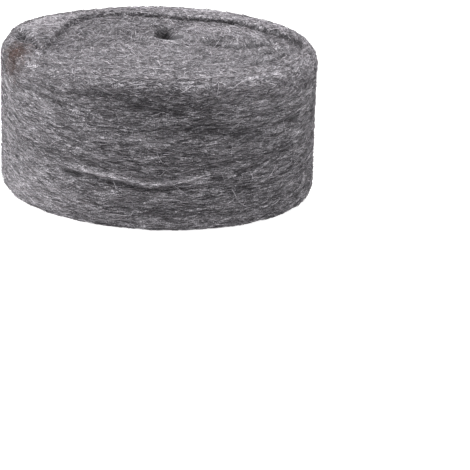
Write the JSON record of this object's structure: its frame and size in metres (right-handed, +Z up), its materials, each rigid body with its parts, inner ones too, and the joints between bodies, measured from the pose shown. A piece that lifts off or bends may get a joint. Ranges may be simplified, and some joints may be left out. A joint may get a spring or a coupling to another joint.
{
  "type": "steel wool roll",
  "caption": "Wide roll of fine steel wool: one felted steel ribbon wound on itself and stood on end, with its tail tucked in.",
  "frame": {"origin": "centre of the flat underside", "axes": "+Z up along the roll's axis, -Y to the front, -X to the side where the tail is tucked in"},
  "size_m": [0.178, 0.1756, 0.08],
  "materials": {
    "steel_wool": "dull grey felt of fine steel fibres, with a brown rust stain on the left shoulder"
  },
  "bodies": {
    "root": {"wool_roll": "steel_wool"}
  },
  "joints": []
}
